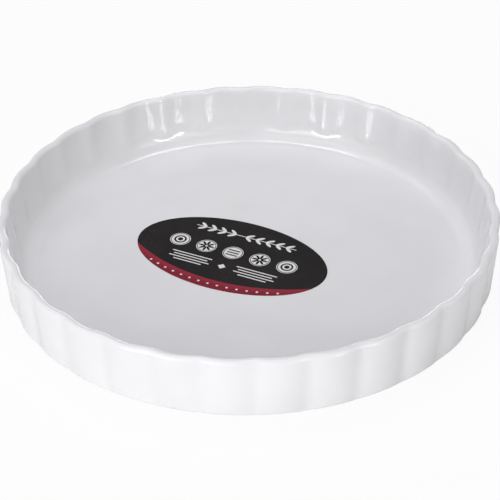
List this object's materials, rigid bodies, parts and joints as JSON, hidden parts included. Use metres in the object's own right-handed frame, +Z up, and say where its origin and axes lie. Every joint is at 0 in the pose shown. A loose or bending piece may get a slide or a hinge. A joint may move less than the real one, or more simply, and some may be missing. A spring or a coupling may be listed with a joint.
{
  "type": "fluted quiche dish",
  "caption": "Round shallow baking dish with a fluted upright wall, rounded rim, flat floor and ring foot, with an oval sticker on the floor.",
  "frame": {"origin": "centre of the foot ring, in the plane that the dish stands on", "axes": "+Z up out of the open top; +X through the crest of one lobe"},
  "size_m": [0.2896, 0.2896, 0.038],
  "materials": {
    "dish_glaze": "white glossy glaze, bare on the ground face of the foot",
    "label_adhesive": "clear tacky adhesive film",
    "label_film": "white coated paper, semi-gloss",
    "label_black_ink": "dark printed ink, semi-gloss",
    "label_red_ink": "crimson printed ink, semi-gloss"
  },
  "bodies": {
    "root": {"dish_body": "dish_glaze", "label_adhesive": "label_adhesive", "label_film": "label_film", "label_black_print": "label_black_ink", "label_red_print": "label_red_ink"}
  },
  "joints": []
}
